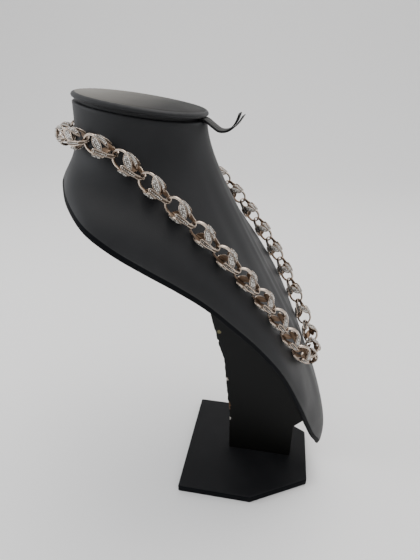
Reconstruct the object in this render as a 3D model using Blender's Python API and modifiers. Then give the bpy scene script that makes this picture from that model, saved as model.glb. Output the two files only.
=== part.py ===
# A silver belcher chain of tulip links, worn by a plain neck bust on a leg and a base plate.
# Metres, +Z up. The chest of the bust looks along -Y. The origin is the middle of the base's underside.

import math

import bmesh
import bpy
from mathutils import Matrix, Vector
from mathutils.bvhtree import BVHTree

# Sizes of the chain
LINK_PITCH = 0.0203          # from one joint to the next, along the chain
RING_RADIUS = 0.0062         # outer radius of a link's round start loop
END_RADIUS = 0.0041          # outer radius of a link's narrow end loop
BAND_WALL = 0.0012           # thickness of the silver
TIP_WIDTH = 0.0015           # width of the band where it turns at each end of the link
ARM_WIDTH = 0.0034           # width of the band along the middle of the link
BAND_DOME = 0.00025          # how far the middle of the band stands over its edges
LINK_PLAY = 0.0011           # free length between two links that hook into each other
LEAF_RADIUS = 0.0060         # from the link's axis to the middle of a leaf
LEAF_BULGE = 0.0009          # how far a leaf's edge bows into the hole beside it
CHAIN_SEAT = 0.0067          # from the bust's surface to the chain's axis
CHAIN_TURN = -0.0018         # how far the chain is shifted along itself, towards the -X side

# Sizes of the bust
NECK_LENGTH = 0.0886         # front to back, at the top of the neck
NECK_WIDTH = 0.0968
NECK_CENTRE_Y = 0.0872
NECK_TOP = 0.3056            # height of the middle of the neck's top
NECK_TILT = math.radians(8.7)
BUST_WIDTH = 0.1727          # across the shoulders, at the rim
BUST_FRONT_Y = -0.0631       # the tip of the chest
BUST_REACH = 0.2044          # from the tip of the chest to the back of the rim
BUST_TIP_Z = 0.0226          # height of the tip of the chest
BUST_RISE = 0.2413           # from the tip of the chest up to the back of the rim
BUST_WALL = 0.0030
NECK_DROP = 0.0600           # length of the ribs' handles at the neck
CHEST_FLARE = 0.0800         # length of the ribs' handles at the rim

# Sizes of the cap, the strap, the leg and the base
CAP_LENGTH = 0.0890
CAP_WIDTH = 0.1026
CAP_THICKNESS = 0.0031
CAP_EDGE = 0.0007            # rounding of the cap's edge
GROOVE_HEIGHT = 0.0022       # dark groove between the cap and the neck
GROOVE_DEPTH = 0.0045
OVAL_POWER = 2.16            # 2 is an ellipse, more is squarer
STRAP_WIDTH = 0.0170
STRAP_THICKNESS = 0.0015
LEG_THICKNESS = 0.0100
LEG_FOOT_FRONT_Y = -0.0402
LEG_FOOT_BACK_Y = 0.0172
LEG_NOTCH_SLOPE = 1.05       # rise over run of the leg's edge, from its foot out to the chest
BASE_LENGTH = 0.1107
BASE_WIDTH = 0.1107
BASE_NOSE = 0.0567           # width of the front edge, between the two clipped corners
BASE_CLIP = 0.0480           # length of a clipped corner, along Y
BASE_THICKNESS = 0.0065
BASE_BEVEL = 0.0006
CLEARANCE = 0.0003           # between pieces that rest on each other
LEG_CLEARANCE = 0.0018       # between the leg's edge and the curved wall it supports

# The rim of the bust, half way round. Each row is one point: angle round the neck from the front
# in degrees, then shares of half the width, of the reach from the tip, and of the rise.
RIM = (
    # angle, width, reach, rise
    (0, 0.000, -0.007, 0.000),
    (3, 0.103, 0.010, 0.042),
    (7, 0.206, 0.038, 0.098),
    (11, 0.320, 0.073, 0.183),
    (17, 0.457, 0.113, 0.289),
    (26, 0.640, 0.196, 0.460),
    (34, 0.754, 0.280, 0.571),
    (44, 0.846, 0.370, 0.661),
    (53, 0.904, 0.448, 0.728),
    (62, 0.950, 0.526, 0.778),
    (73, 0.985, 0.620, 0.826),
    (86, 1.000, 0.712, 0.872),
    (97, 0.970, 0.792, 0.916),
    (110, 0.815, 0.866, 0.956),
    (125, 0.610, 0.922, 0.982),
    (151, 0.310, 0.982, 0.997),
    (180, 0.000, 1.000, 1.000),
)
# The ribs run from the neck down to the rim. Drop and flare are shares of NECK_DROP and CHEST_FLARE,
# and lean is how steeply a rib meets the rim, in degrees.
RIBS = (
    # angle, drop, flare, lean
    (0, 0.76, 0.92, 106),
    (25, 0.90, 0.45, 107),
    (50, 0.88, 0.38, 109),
    (75, 0.84, 0.36, 102),
    (100, 0.86, 0.26, 86),
    (140, 0.60, 0.26, 64),
    (180, 0.52, 0.22, 60),
)
# The arms of a link's two loops, past the round turns. Place is a share of the link's length, inset
# is a share of RING_RADIUS, and a width of 0 is TIP_WIDTH and 1 is ARM_WIDTH.
TURN_ANGLES = (0, 32, 62)    # degrees round the turn of a loop, from its tip
TURN_WIDTHS = (0.0, 0.0, 0.5)
RING_ARM = (
    # place, inset, width
    (0.215, 0.015, 1.0),
    (0.335, 0.000, 1.0),
    (0.460, 0.015, 1.0),
    (0.570, 0.150, 0.7),
    (0.650, 0.420, 0.0),
)
END_ARM = (
    # place, inset, width
    (0.740, 0.190, 1.0),
    (0.580, 0.070, 1.0),
    (0.480, 0.030, 1.0),
    (0.380, 0.020, 1.0),
)
LEAF_ROWS = 3                # points along a leaf's edge, on the widest part of each arm
RING_LEAF_START = 4          # the ring arm's point where a leaf begins, counted from the arm's free tip
# The route of the chain over the bust, half way round, chosen by hand. Each row is x, y and z, then
# how far the links have rolled, in degrees, on the -X side and on the +X side.
CHAIN_ROUTE = (
    # x, y, z, roll at -X, roll at +X
    (0.0000, -0.0470, 0.1279, -14, -14),
    (0.0218, -0.0429, 0.1325, -8, -20),
    (0.0361, -0.0366, 0.1444, -3, -26),
    (0.0472, -0.0189, 0.1787, 0, -38),
    (0.0559, 0.0047, 0.2086, 0, -45),
    (0.0625, 0.0298, 0.2376, -6, -45),
    (0.0626, 0.0591, 0.2652, -35, -45),
    (0.0562, 0.0930, 0.2882, -60, -45),
    (0.0450, 0.1230, 0.2915, -58, -45),
    (0.0240, 0.1400, 0.2915, -50, -45),
    (0.0000, 0.1445, 0.2915, -45, -45),
)
# The strap's side view: y and z from the middle of the groove at the front of the neck.
STRAP_PATH = (
    # y, z
    (0.0040, 0.0006),
    (0.0000, 0.0000),
    (-0.0050, -0.0036),
    (-0.0100, -0.0066),
    (-0.0158, -0.0060),
    (-0.0206, -0.0020),
    (-0.0240, 0.0040),
)
# The back edge of the leg: y from its foot, and z from the base, as it shows under the bust.
LEG_BACK = (
    # y, z
    (0.0000, 0.0000),
    (0.0012, 0.0430),
    (0.0035, 0.0630),
    (0.0056, 0.0820),
    (0.0077, 0.1020),
    (0.0125, 0.1150),
    (0.0150, 0.1240),
    (0.0210, 0.1480),
    (0.0330, 0.1780),
)

# Counts of sides
BUST_COLUMNS = 36
BUST_ROWS = 7
FINE_COLUMNS = 96
FINE_ROWS = 40
CAP_COLUMNS = 28
LEG_CHEST_FROM = 0.45        # stretch of the chest's front rib that the leg's edge follows
LEG_CHEST_TO = 0.85
LEG_CHEST_ROWS = 8
ROUTE_STEPS = 24
SMOOTH_PASSES = 16
HALVINGS = 30                # steps of a search that halves its range
EVEN_SHARE = 0.38            # share of the ribs' angles that is spaced evenly
RIB_CROWDING = 1.7           # power by which the other ribs crowd towards the chest
WIDEST_EDGE_ANGLE = 60.0     # degrees from the front, past which the leg never meets the chest
SLOPE_STEP = 0.01            # share of a rib, and degrees round it, over which a slope is measured
SLOPE_ANGLE = 1.0
SPACING_SEARCH = 0.1         # how far from the mean the spacing of the joints is searched
UP = Vector((0.0, 0.0, 1.0))


# Helpers for meshes, materials and smooth curves

def clear_scene():
    for thing in list(bpy.data.objects):
        bpy.data.objects.remove(thing, do_unlink=True)


def make_material(name, colour, roughness, metallic):
    material = bpy.data.materials.new(name)
    material.use_nodes = True
    shader = material.node_tree.nodes["Principled BSDF"]
    shader.inputs["Base Color"].default_value = (*colour, 1.0)
    shader.inputs["Roughness"].default_value = roughness
    shader.inputs["Metallic"].default_value = metallic
    return material


def add_object(name, mesh, collection, material, smooth_angle=35):
    mesh.materials.append(material)
    mesh.shade_smooth()
    mesh.set_sharp_from_angle(angle=math.radians(smooth_angle))
    thing = bpy.data.objects.new(name, mesh)
    collection.objects.link(thing)
    return thing


def mesh_from(name, shape):
    mesh = bpy.data.meshes.new(name)
    shape.to_mesh(mesh)
    shape.free()
    return mesh


def loft(shape, rings, closed=True):
    """Joins rings of points with quads and returns the rings of vertices."""
    rows = [[shape.verts.new(point) for point in ring] for ring in rings]
    count = len(rows[0])
    spans = count if closed else count - 1
    for lower, upper in zip(rows, rows[1:]):
        for i in range(spans):
            j = (i + 1) % count
            shape.faces.new((lower[i], lower[j], upper[j], upper[i]))
    return rows


def hermite(rows, at, odd=()):
    """Reads a table at an angle from 0 to 180, mirrored at both ends. Columns in odd change sign there."""
    at = (at + 180.0) % 360.0 - 180.0
    flip = at < 0
    at = abs(at)

    def mirror(row, pivot):
        values = [-v if k in odd else v for k, v in enumerate(row[1:])]
        return (2 * pivot - row[0], *values)

    rows = [mirror(rows[1], rows[0][0]), *rows, mirror(rows[-2], rows[-1][0])]
    k = 1
    while k < len(rows) - 3 and at > rows[k + 1][0]:
        k += 1
    before, start, end, after = rows[k - 1], rows[k], rows[k + 1], rows[k + 2]
    span = end[0] - start[0]
    t = (at - start[0]) / span
    values = []
    for column in range(1, len(start)):
        slope_a = (end[column] - before[column]) / (end[0] - before[0]) * span
        slope_b = (after[column] - start[column]) / (after[0] - start[0]) * span
        value = ((2 * t**3 - 3 * t**2 + 1) * start[column] + (t**3 - 2 * t**2 + t) * slope_a
                 + (3 * t**2 - 2 * t**3) * end[column] + (t**3 - t**2) * slope_b)
        values.append(-value if flip and column - 1 in odd else value)
    return values


def oval(length, width, angle):
    """A point of an oval in its own plane: across, and from front (-) to back (+)."""
    c = math.cos(angle)
    s = math.sin(angle)
    across = math.copysign(abs(s) ** (2 / OVAL_POWER), s) * width / 2
    along = -math.copysign(abs(c) ** (2 / OVAL_POWER), c) * length / 2
    return across, along


def neck_plane(across, along, height):
    """A point over the neck's tilted top plane."""
    centre = Vector((0.0, NECK_CENTRE_Y, NECK_TOP))
    back = Vector((0.0, math.cos(NECK_TILT), math.sin(NECK_TILT)))
    over = Vector((0.0, -math.sin(NECK_TILT), math.cos(NECK_TILT)))
    return centre + Vector((across, 0.0, 0.0)) + back * along + over * height


# The bust: a shell lofted through ribs from the neck's oval down to the rim

def rim_point(angle):
    width, reach, rise = hermite(RIM, angle, odd=(0,))
    return Vector((
        width * BUST_WIDTH / 2,
        BUST_FRONT_Y + reach * BUST_REACH,
        BUST_TIP_Z + rise * BUST_RISE,
    ))


def bust_point(angle, share):
    """A point of the bust's outer surface. Share runs from 0 at the neck to 1 at the rim."""
    drop, flare, lean = hermite(RIBS, angle)
    across, along = oval(NECK_LENGTH, NECK_WIDTH, math.radians(angle))
    top = neck_plane(across, along, 0.0)
    rim = rim_point(angle)
    inward = Vector((-rim.x, NECK_CENTRE_Y - rim.y, 0.0)).normalized()
    lean = math.radians(lean)
    handle_top = top - UP * drop * NECK_DROP
    handle_rim = rim + (inward * math.cos(lean) + UP * math.sin(lean)) * flare * CHEST_FLARE
    rest = 1.0 - share
    return (top * rest**3 + handle_top * 3 * rest**2 * share
            + handle_rim * 3 * rest * share**2 + rim * share**3)


def rib_angles(columns):
    """Angles round the neck, closer together at the chest, where the rim is narrow."""
    half = columns // 2
    angles = []
    for i in range(columns):
        turn = i if i <= half else i - columns
        share = abs(turn) / half
        crowded = (1 - EVEN_SHARE) * share**RIB_CROWDING
        angle = 180.0 * (EVEN_SHARE * share + crowded)
        angles.append(math.copysign(angle, turn) if turn else 0.0)
    return angles


def bust_shape(columns, rows):
    shape = bmesh.new()
    angles = rib_angles(columns)
    rings = [[bust_point(a, k / rows) for a in angles] for k in range(rows + 1)]
    lofted = loft(shape, rings)
    top = shape.faces.new(lofted[0])
    bmesh.ops.recalc_face_normals(shape, faces=shape.faces)
    if top.normal.z < 0:
        bmesh.ops.reverse_faces(shape, faces=shape.faces)
    return shape


def make_bust(collection, material):
    shape = bust_shape(BUST_COLUMNS, BUST_ROWS)
    bmesh.ops.triangulate(shape, faces=shape.faces)
    bust = add_object("bust_shell", mesh_from("bust_shell", shape), collection, material, 50)
    wall = bust.modifiers.new("wall", "SOLIDIFY")
    wall.thickness = BUST_WALL
    wall.offset = -1.0
    return bust


# The cap, a padded oval on a smaller foot, which leaves a groove under its edge

def make_cap(collection, material):
    foot = GROOVE_HEIGHT + CLEARANCE
    rows = (
        # inset from the outline, height over the neck's top
        (GROOVE_DEPTH, CLEARANCE),
        (GROOVE_DEPTH, foot),
        (CAP_EDGE, foot),
        (0.0, foot + CAP_EDGE),
        (0.0, foot + CAP_THICKNESS - CAP_EDGE),
        (CAP_EDGE, foot + CAP_THICKNESS),
    )
    shape = bmesh.new()
    turns = [2 * math.pi * i / CAP_COLUMNS for i in range(CAP_COLUMNS)]
    rings = []
    for inset, height in rows:
        points = [oval(CAP_LENGTH - 2 * inset, CAP_WIDTH - 2 * inset, turn) for turn in turns]
        rings.append([neck_plane(across, along, height) for across, along in points])
    lofted = loft(shape, rings)
    shape.faces.new(lofted[0])
    shape.faces.new(lofted[-1])
    bmesh.ops.recalc_face_normals(shape, faces=shape.faces)
    return add_object("neck_cap", mesh_from("neck_cap", shape), collection, material)


# Flat pieces, each an outline that is pushed out along one axis

def push_out(name, outline, step, collection, material):
    """Makes a solid from an outline of points, moved by step."""
    shape = bmesh.new()
    face = shape.faces.new([shape.verts.new(point) for point in outline])
    pushed = bmesh.ops.extrude_face_region(shape, geom=[face])
    moved = [item for item in pushed["geom"] if isinstance(item, bmesh.types.BMVert)]
    bmesh.ops.translate(shape, vec=step, verts=moved)
    bmesh.ops.recalc_face_normals(shape, faces=shape.faces)
    bmesh.ops.triangulate(shape, faces=shape.faces, ngon_method="EAR_CLIP")
    return add_object(name, mesh_from(name, shape), collection, material)


def make_strap(collection, material):
    groove = (GROOVE_HEIGHT + CLEARANCE + CLEARANCE) / 2
    front = neck_plane(0.0, -CAP_LENGTH / 2, groove)
    points = [Vector((front.y + y, front.z + z)) for y, z in STRAP_PATH]
    one_side = []
    other_side = []
    for i, point in enumerate(points):
        run = points[min(i + 1, len(points) - 1)] - points[max(i - 1, 0)]
        across = Vector((-run.y, run.x)).normalized() * STRAP_THICKNESS / 2
        one_side.append(point + across)
        other_side.append(point - across)
    outline = one_side + other_side[::-1]
    outline = [(-STRAP_WIDTH / 2, point.x, point.y) for point in outline]
    return push_out("neck_strap", outline, (STRAP_WIDTH, 0.0, 0.0), collection, material)


def chest_line(share):
    """The bust's inner surface beside the leg's face, for the edge of the leg that supports it."""
    low = 0.0
    high = WIDEST_EDGE_ANGLE
    for _ in range(HALVINGS):
        angle = (low + high) / 2
        if bust_point(angle, share).x < LEG_THICKNESS / 2:
            low = angle
        else:
            high = angle
    here = bust_point(angle, share)
    along = bust_point(angle, share + SLOPE_STEP) - bust_point(angle, share - SLOPE_STEP)
    across = bust_point(angle + SLOPE_ANGLE, share) - bust_point(angle - SLOPE_ANGLE, share)
    inward = along.cross(across).normalized()
    if inward.y < 0:
        inward = -inward
    return here + inward * (BUST_WALL + LEG_CLEARANCE)


def make_leg(collection, material):
    floor = BASE_THICKNESS + CLEARANCE
    back = [(LEG_FOOT_BACK_Y + y, floor + z) for y, z in LEG_BACK]
    run = LEG_CHEST_TO - LEG_CHEST_FROM
    shares = [LEG_CHEST_FROM + run * i / LEG_CHEST_ROWS for i in range(LEG_CHEST_ROWS + 1)]
    front = [chest_line(share) for share in shares]
    notch = front[-1].z - LEG_NOTCH_SLOPE * (LEG_FOOT_FRONT_Y - front[-1].y)
    outline = back + [(point.y, point.z) for point in front]
    outline += [(LEG_FOOT_FRONT_Y, notch), (LEG_FOOT_FRONT_Y, floor)]
    outline = [(-LEG_THICKNESS / 2, y, z) for y, z in outline]
    return push_out("leg", outline, (LEG_THICKNESS, 0.0, 0.0), collection, material)


def make_base(collection, material):
    side = BASE_WIDTH / 2
    end = BASE_LENGTH / 2
    nose = BASE_NOSE / 2
    clip = -end + BASE_CLIP
    outline = [(-side, end), (-side, clip), (-nose, -end), (nose, -end), (side, clip), (side, end)]
    outline = [(x, y, 0.0) for x, y in outline]
    base = push_out("base_plate", outline, (0.0, 0.0, BASE_THICKNESS), collection, material)
    bevel = base.modifiers.new("edge", "BEVEL")
    bevel.width = BASE_BEVEL
    bevel.segments = 1
    bevel.limit_method = "ANGLE"
    bevel.angle_limit = math.radians(30)
    return base


# A tulip link, from x = 0 at its start tip to its length at its end tip. The start loop lies in the
# plane of x and z, the end loop in the plane of x and y, and four leaves close the cage between them.

def turn_points(radius):
    """The turn of a loop, from its tip: depth, distance from the link's axis, and band width."""
    points = []
    for angle, width in zip(TURN_ANGLES, TURN_WIDTHS):
        turn = math.radians(angle)
        points.append((radius * (1 - math.cos(turn)), radius * math.sin(turn), band_width(width)))
    return points


def band_width(share):
    return TIP_WIDTH + (ARM_WIDTH - TIP_WIDTH) * share


def ring_line(length):
    """Half of the start loop's middle line, from its tip: place along x, radius and band width."""
    arm = [(place * length, RING_RADIUS * (1 - inset), band_width(width)) for place, inset, width in RING_ARM]
    return turn_points(RING_RADIUS) + arm


def end_line(length):
    """Half of the end loop's middle line, from its tip."""
    turn = [(length - depth, radius, width) for depth, radius, width in turn_points(END_RADIUS)]
    arm = [(place * length, RING_RADIUS * (1 - inset), band_width(width)) for place, inset, width in END_ARM]
    return turn + arm


def band(shape, half_line, out, side, front):
    """Makes a loop's band from the tip of one arm, round the turn, to the tip of the other arm."""
    line = [(x, r, w) for x, r, w in half_line[::-1]] + [(x, -r, w) for x, r, w in half_line[1:]]
    rings = []
    for i, (x, radius, width) in enumerate(line):
        before = line[max(i - 1, 0)]
        after = line[min(i + 1, len(line) - 1)]
        run = Vector((after[0] - before[0], after[1] - before[1])).normalized()
        normal = Vector((run.y, -run.x)) * front
        middle = Vector((x, 0.0, 0.0)) + out * radius
        sunk = middle - (Vector((normal.x, 0.0, 0.0)) + out * normal.y) * BAND_DOME
        rings.append((sunk - side * width / 2, middle, sunk + side * width / 2))
    return loft(shape, rings, closed=False)


def edge_points(rows, start, side, flipped):
    """A few vertices along one edge of an arm, which a leaf grows from."""
    rows = rows[::-1] if flipped else rows
    return [rows[start + k][side] for k in range(LEAF_ROWS)]


def link_mesh(length):
    shape = bmesh.new()
    z = Vector((0.0, 0.0, 1.0))
    y = Vector((0.0, 1.0, 0.0))
    ring = band(shape, ring_line(length), z, y, 1.0)
    end = band(shape, end_line(length), y, z, -1.0)
    out = LEAF_RADIUS * math.sqrt(0.5)
    for up in (1, -1):
        for across in (1, -1):
            ring_edge = edge_points(ring, RING_LEAF_START - LEAF_ROWS + 1, 1 + across, up < 0)[::-1]
            end_edge = edge_points(end, 0, 1 + up, across < 0)
            middle = []
            for k, (a, b) in enumerate(zip(ring_edge, end_edge)):
                x = (a.co.x + b.co.x) / 2 + LEAF_BULGE * (k - 1)
                middle.append(shape.verts.new((x, across * out, up * out)))
            for k in range(LEAF_ROWS - 1):
                shape.faces.new((ring_edge[k], ring_edge[k + 1], middle[k + 1], middle[k]))
                shape.faces.new((middle[k], middle[k + 1], end_edge[k + 1], end_edge[k]))
    bmesh.ops.recalc_face_normals(shape, faces=shape.faces)
    highest = max(shape.faces, key=lambda face: face.calc_center_median().z)
    if highest.normal.z < 0:
        bmesh.ops.reverse_faces(shape, faces=shape.faces)
    bmesh.ops.triangulate(shape, faces=shape.faces)
    return mesh_from("tulip_link", shape)


# The chain's route: the chosen points, laid on the bust at the height of the links' axes

def route_rows():
    near = [Vector((-x, y, z, roll)) for x, y, z, roll, _ in CHAIN_ROUTE]
    far = [Vector((x, y, z, roll)) for x, y, z, _, roll in CHAIN_ROUTE]
    return near + far[-2:0:-1]


def closed_curve(points, steps):
    """Samples of a smooth closed curve through the points."""
    count = len(points)
    samples = []
    for i in range(count):
        a, b, c, d = (points[(i + k) % count] for k in (-1, 0, 1, 2))
        for step in range(steps):
            t = step / steps
            samples.append(0.5 * (2 * b + (c - a) * t + (2 * a - 5 * b + 4 * c - d) * t * t
                                  + (3 * b - a - 3 * c + d) * t**3))
    return samples


def lay_on_bust(samples):
    """Moves each sample to the chain's height over the bust, with the bust's normal there."""
    shape = bust_shape(FINE_COLUMNS, FINE_ROWS)
    surface = BVHTree.FromBMesh(shape)
    shape.free()
    laid = []
    for sample in samples:
        place, normal, _, _ = surface.find_nearest(sample.to_3d())
        laid.append([place + normal * CHAIN_SEAT, normal, sample.w])
    count = len(laid)
    for _ in range(SMOOTH_PASSES):
        laid = [[(laid[i - 1][k] + laid[i][k] * 2 + laid[(i + 1) % count][k]) / 4 for k in range(3)]
                for i in range(count)]
    # A straight link's middle lies lower than its ends where the bust is round, so the route rises there.
    length = sum((laid[i][0] - laid[i - 1][0]).length for i in range(count))
    half = round(LINK_PITCH / 2 / (length / count))
    lifted = []
    for i, (place, normal, roll) in enumerate(laid):
        normal = normal.normalized()
        chord = (laid[i - half][0] + laid[(i + half) % count][0]) / 2
        dip = max((place - chord).dot(normal), 0.0)
        lifted.append((place + normal * dip, normal, roll))
    return lifted


def walk(places, start, spacing, count):
    """Steps round the closed route by equal straight distances. Returns the joints and the way gone."""
    total = len(places)
    position = start
    joints = [position]
    here = places[int(position) % total].lerp(places[(int(position) + 1) % total], position % 1.0)
    for _ in range(count):
        k = math.floor(position)
        while (places[(k + 1) % total] - here).length < spacing:
            k += 1
        a = places[k % total]
        b = places[(k + 1) % total]
        low = 0.0
        high = 1.0
        for _ in range(HALVINGS):
            middle = (low + high) / 2
            if (a.lerp(b, middle) - here).length < spacing:
                low = middle
            else:
                high = middle
        position = k + low
        here = a.lerp(b, low)
        joints.append(position)
    return joints


def make_chain(collection, material):
    laid = lay_on_bust(closed_curve(route_rows(), ROUTE_STEPS))
    places = [place for place, _, _ in laid]
    total = len(places)
    length = sum((places[i] - places[i - 1]).length for i in range(total))
    count = round(length / LINK_PITCH)
    step = length / total
    start = total + (CHAIN_TURN - LINK_PITCH / 2) / step
    low = (1 - SPACING_SEARCH) * length / count
    high = (1 + SPACING_SEARCH) * length / count
    for _ in range(HALVINGS):
        spacing = (low + high) / 2
        joints = walk(places, start, spacing, count)
        if joints[-1] - joints[0] < total:
            low = spacing
        else:
            high = spacing
    link_length = spacing + 2 * BAND_WALL + LINK_PLAY
    mesh = link_mesh(link_length)
    for i in range(count):
        ends = []
        for position in (joints[i], joints[i + 1]):
            k = math.floor(position)
            ends.append(places[k % total].lerp(places[(k + 1) % total], position - k))
        place, normal, roll = laid[round((joints[i] + joints[i + 1]) / 2) % total]
        axis = (ends[0] - ends[1]).normalized()
        normal = (normal - axis * normal.dot(axis)).normalized()
        side = normal.cross(axis)
        matrix = Matrix((axis, side, normal)).transposed().to_4x4()
        middle = (ends[0] + ends[1]) / 2
        matrix.translation = middle - axis * link_length / 2
        matrix = matrix @ Matrix.Rotation(math.radians(roll), 4, "X")
        link = add_object(f"link_{i + 1:02d}", mesh.copy(), collection, material, 40)
        link.matrix_world = matrix
        wall = link.modifiers.new("wall", "SOLIDIFY")
        wall.thickness = BAND_WALL
        wall.offset = -1.0


def main():
    clear_scene()
    collection = bpy.data.collections.new("belcher_chain_on_bust")
    bpy.context.scene.collection.children.link(collection)
    silver = make_material("silver", (0.72, 0.68, 0.64), 0.22, 1.0)
    leatherette = make_material("black leatherette", (0.022, 0.023, 0.026), 0.55, 0.0)
    board = make_material("black board", (0.015, 0.015, 0.016), 0.6, 0.0)
    make_base(collection, board)
    make_leg(collection, board)
    make_bust(collection, leatherette)
    make_cap(collection, leatherette)
    make_strap(collection, leatherette)
    make_chain(collection, silver)


main()
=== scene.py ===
# %% [markdown]
# A silver belcher chain on a neck bust.
#
# The imported model gives every piece its place. This file gives the pieces their looks: links cast as small
# cages with set stones, a bust covered in leatherette, a padded cap, a strap, a board leg and a base.
# The model is loaded first.

import math

import bmesh
import bpy
import numpy as np
from mathutils import Matrix, Vector


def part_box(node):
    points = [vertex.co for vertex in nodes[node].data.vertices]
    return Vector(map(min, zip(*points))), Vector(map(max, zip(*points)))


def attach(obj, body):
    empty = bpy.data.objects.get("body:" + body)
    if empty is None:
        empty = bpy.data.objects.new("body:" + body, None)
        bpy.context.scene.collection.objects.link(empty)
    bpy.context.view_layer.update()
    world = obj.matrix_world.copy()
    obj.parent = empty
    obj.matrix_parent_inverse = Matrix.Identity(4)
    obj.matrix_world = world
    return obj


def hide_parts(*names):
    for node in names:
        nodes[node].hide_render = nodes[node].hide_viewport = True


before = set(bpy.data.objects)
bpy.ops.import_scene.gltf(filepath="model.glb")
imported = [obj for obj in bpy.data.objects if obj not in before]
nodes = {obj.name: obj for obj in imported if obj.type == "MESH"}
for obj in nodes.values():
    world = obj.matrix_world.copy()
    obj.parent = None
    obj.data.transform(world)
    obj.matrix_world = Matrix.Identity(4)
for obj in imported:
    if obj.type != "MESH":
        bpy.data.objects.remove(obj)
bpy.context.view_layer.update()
scene = bpy.context.scene

# %% [markdown]
# The camera stands where the photographer stood: on the bust's right, a little above the cap, looking down
# at the chest. Its place and its angles come from fitting the base plate, the neck's oval and the joints of
# the chain. A focal length in pixels becomes a lens in millimetres through the height of the sensor.

# %% The camera
IMAGE_HEIGHT = 560
FOCAL_PIXELS = 412.2
SENSOR_HEIGHT = 36.0
CAMERA_PLACE = (-0.2911, -0.0107, 0.3245)
CAMERA_TURN = math.radians(-80.31)      # from looking along +Y, seen from above
CAMERA_TILT = math.radians(64.01)       # 0 looks straight down, 90 at the horizon
CAMERA_ROLL = math.radians(0.84)

camera = bpy.data.objects.new("camera", bpy.data.cameras.new("camera"))
camera.data.sensor_fit = "VERTICAL"
camera.data.sensor_height = SENSOR_HEIGHT
camera.data.lens = FOCAL_PIXELS / IMAGE_HEIGHT * SENSOR_HEIGHT
camera.data.clip_start = 0.01
turn = Matrix.Rotation(CAMERA_TURN, 4, "Z")
tilt = Matrix.Rotation(CAMERA_TILT, 4, "X")
roll = Matrix.Rotation(CAMERA_ROLL, 4, "Z")
camera.matrix_world = Matrix.Translation(CAMERA_PLACE) @ turn @ tilt @ roll
scene.collection.objects.link(camera)
scene.camera = camera
print("lens:", round(camera.data.lens, 2))

# %% [markdown]
# Every finish here is a small tree of nodes on one Principled shader. These helpers keep the trees short:
# one adds a node and fills its inputs, and the others build on it. A noise has a size in metres, because the
# textures read the object's own coordinates, so a grain of half a millimetre stays that size on every piece.

# %% Helpers for finishes


def new_material(name, colour, roughness, metallic=0.0):
    material = bpy.data.materials.new(name)
    material.use_nodes = True
    shader = material.node_tree.nodes["Principled BSDF"]
    shader.inputs["Base Color"].default_value = (*colour, 1.0)
    shader.inputs["Roughness"].default_value = roughness
    shader.inputs["Metallic"].default_value = metallic
    return material, shader


def add_node(owner, kind, inputs, operation=None):
    """A node whose inputs get values, or links where an output is given."""
    tree = owner.node_tree
    node = tree.nodes.new("ShaderNode" + kind)
    if operation:
        node.operation = operation
    for key, value in inputs.items():
        if isinstance(value, bpy.types.NodeSocket):
            tree.links.new(value, node.inputs[key])
        else:
            node.inputs[key].default_value = value
    return node


def own_place(material):
    """The object's own coordinates, in metres."""
    return add_node(material, "TexCoord", {}).outputs["Object"]


def noise(material, size, detail):
    """A noise whose patches are about size metres across."""
    inputs = {"Vector": own_place(material), "Scale": 1.0 / size, "Detail": detail}
    return add_node(material, "TexNoise", inputs).outputs["Fac"]


def rescale(owner, value, start, end, low=0.0, high=1.0):
    """Turns values from start to end into values from low to high."""
    inputs = {"Value": value, "From Min": start, "From Max": end, "To Min": low, "To Max": high}
    return add_node(owner, "MapRange", inputs).outputs["Result"]


def blend_colours(material, factor, low, high, start=0.35, end=0.65):
    """One colour where the factor is under start, the other where it is over end."""
    ramp = add_node(material, "ValToRGB", {"Fac": factor})
    ramp.color_ramp.elements[0].position = start
    ramp.color_ramp.elements[0].color = (*low, 1.0)
    ramp.color_ramp.elements[1].position = end
    ramp.color_ramp.elements[1].color = (*high, 1.0)
    return ramp.outputs["Color"]


def set_colour(material, shader, colour):
    material.node_tree.links.new(colour, shader.inputs["Base Color"])


def vary_roughness(material, shader, factor, low, high):
    """Lets the roughness follow the middle range of a noise."""
    roughness = rescale(material, factor, 0.3, 0.7, low, high)
    material.node_tree.links.new(roughness, shader.inputs["Roughness"])


def relief(material, shader, height, depth, strength):
    """Bump from a height texture, depth metres deep."""
    bump = add_node(material, "Bump", {"Height": height, "Strength": strength, "Distance": depth})
    material.node_tree.links.new(bump.outputs["Normal"], shader.inputs["Normal"])


print("helpers for finishes: 9")

# %% [markdown]
# Leatherette is cloth with a skin of soft plastic, pressed with a fine grain. It is nearly black, yet it
# never looks flat: the grain breaks up the light, and a broad sheen turns it grey where it faces the lamp.
# So the colour varies a little over some centimetres, the roughness varies with it, and the grain is bump.
# On the cap, the cover is painted paler towards the back, as a painted reflection of the bright surround.

# %% Finishes of the stand
PATCH_SIZE = 0.03
GRAIN_DEPTH = 0.00010
GRAIN_STRENGTH = 0.55
SHEEN_ROUGHNESS = 0.45


def leatherette(name, dark, light, grain, roughness, shine, sheen, painted_reflection_span=None):
    """Two places along Y may be given, between which the colour is painted from dark to light, as a painted
    reflection of a brighter surround.
    """
    material, shader = new_material(name, dark, roughness)
    patches = noise(material, PATCH_SIZE, 3.0)
    if painted_reflection_span:
        parts = add_node(material, "SeparateXYZ", {"Vector": own_place(material)})
        share = rescale(material, parts.outputs["Y"], *painted_reflection_span)
        colour = blend_colours(material, share, dark, light, 0.0, 1.0)
    else:
        colour = blend_colours(material, patches, dark, light)
    set_colour(material, shader, colour)
    vary_roughness(material, shader, patches, roughness - 0.05, roughness + 0.06)
    relief(material, shader, noise(material, grain, 3.0), GRAIN_DEPTH, GRAIN_STRENGTH)
    shader.inputs["Specular IOR Level"].default_value = shine
    shader.inputs["Sheen Weight"].default_value = sheen
    shader.inputs["Sheen Roughness"].default_value = SHEEN_ROUGHNESS
    return material


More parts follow.
